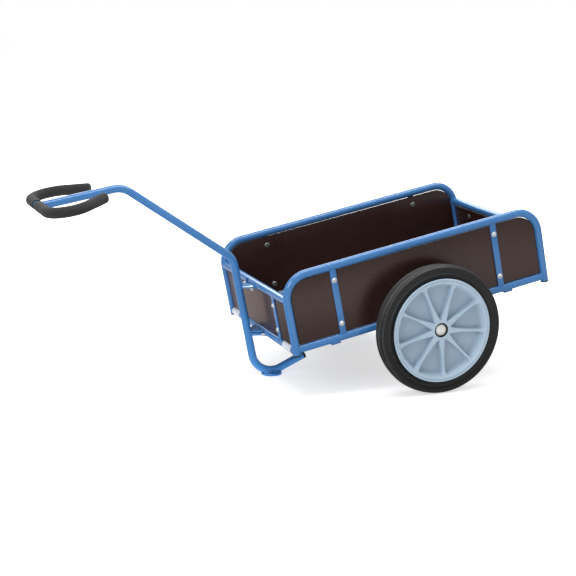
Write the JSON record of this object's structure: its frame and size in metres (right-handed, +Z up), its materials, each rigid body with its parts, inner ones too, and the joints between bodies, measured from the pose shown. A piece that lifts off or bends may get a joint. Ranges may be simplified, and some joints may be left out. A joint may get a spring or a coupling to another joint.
{
  "type": "hand cart",
  "caption": "Two-wheeled hand cart with a tubular frame, film-faced plywood walls and floor, and a bent drawbar with a foam-grip pull handle and parking foot.",
  "frame": {"origin": "centre of the bounding box at floor level, with the cart parked on its two wheels and its foot", "axes": "+X forward along the drawbar to the pull handle, +Y to the left when walking in front, +Z up from the floor"},
  "size_m": [1.5838, 0.802, 0.6419],
  "materials": {
    "blue_paint": "semi-gloss powder coat",
    "film_faced_plywood": "dark brown phenolic film, semi-gloss",
    "zinc": "bright zinc plate",
    "cap_chrome": "bright pressed cap",
    "black_plastic": "matte moulded",
    "foam": "matte closed-cell foam",
    "tyre_rubber": "satin black solid rubber",
    "rim_plastic": "pale blue-grey moulded plastic",
    "bush_plastic": "dark bearing bush"
  },
  "bodies": {
    "cart": {"left_side_hoop": "blue_paint", "right_side_hoop": "blue_paint", "left_bottom_rail": "blue_paint", "right_bottom_rail": "blue_paint", "front_top_tube": "blue_paint", "rear_top_tube": "blue_paint", "front_bottom_tube": "blue_paint", "rear_bottom_tube": "blue_paint", "left_side_straps": "blue_paint", "right_side_straps": "blue_paint", "front_straps": "blue_paint", "rear_straps": "blue_paint", "floor_bearers": "blue_paint", "left_axle_hanger": "blue_paint", "right_axle_hanger": "blue_paint", "drawbar_tube": "blue_paint", "handle_loop": "blue_paint", "foot_pad": "blue_paint", "drawbar_upper_bracket": "blue_paint", "drawbar_lower_bracket": "blue_paint", "left_side_panel": "film_faced_plywood", "right_side_panel": "film_faced_plywood", "front_panel": "film_faced_plywood", "rear_panel": "film_faced_plywood", "floor_panel": "film_faced_plywood", "front_end_sleeves": "zinc", "rear_end_sleeves": "zinc", "axle": "zinc", "axle_spacers": "zinc", "axle_caps": "cap_chrome", "post_plugs": "black_plastic", "drawbar_end_plug": "black_plastic", "left_grip": "foam", "right_grip": "foam"},
    "left_wheel": {"left_tyre": "tyre_rubber", "left_rim": "rim_plastic", "left_hub_bush": "bush_plastic"},
    "right_wheel": {"right_tyre": "tyre_rubber", "right_rim": "rim_plastic", "right_hub_bush": "bush_plastic"}
  },
  "joints": [
    {"name": "left_wheel_spin", "type": "hinge", "parent": "cart", "child": "left_wheel", "pos_m": [-0.36449, 0.369, 0.201], "axis": [0, 1, 0], "continuous": true},
    {"name": "right_wheel_spin", "type": "hinge", "parent": "cart", "child": "right_wheel", "pos_m": [-0.36449, -0.369, 0.201], "axis": [0, 1, 0], "continuous": true}
  ]
}
